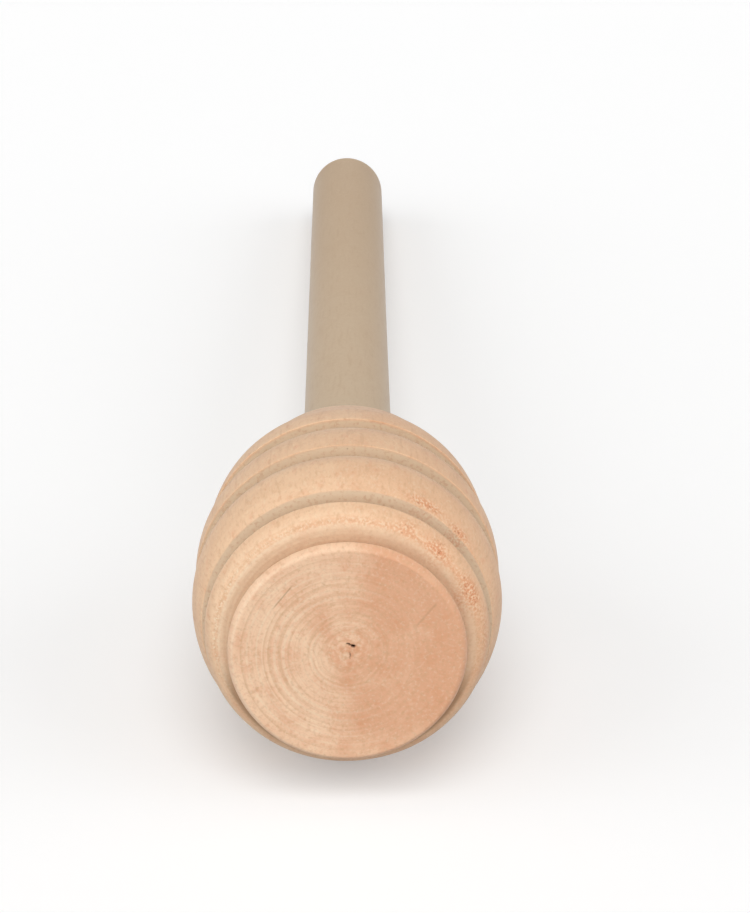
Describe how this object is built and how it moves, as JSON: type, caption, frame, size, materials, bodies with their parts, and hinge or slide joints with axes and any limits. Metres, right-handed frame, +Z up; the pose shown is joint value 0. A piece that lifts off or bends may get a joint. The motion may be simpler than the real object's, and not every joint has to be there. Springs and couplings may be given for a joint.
{
  "type": "honey dipper",
  "caption": "Wooden honey dipper: a turned head with deep ring grooves that hold honey, glued on a straight round handle.",
  "frame": {"origin": "middle of the length and width, at the table surface that the dipper lies on", "axes": "+Y runs along the dipper from the grooved head to the butt of the handle, +X across it, +Z up from the table; the dipper's axis drops 4.37 degrees from head to butt, as it lies at rest"},
  "size_m": [0.03, 0.1506, 0.0302],
  "materials": {
    "head": "bare turned wood, fine sanded, worn rib edges",
    "handle": "bare smooth wood dowel",
    "glue_film": "cured wood glue, hidden in the joint"
  },
  "bodies": {
    "root": {"head": "head", "handle": "handle", "glue_film": "glue_film"}
  },
  "joints": []
}
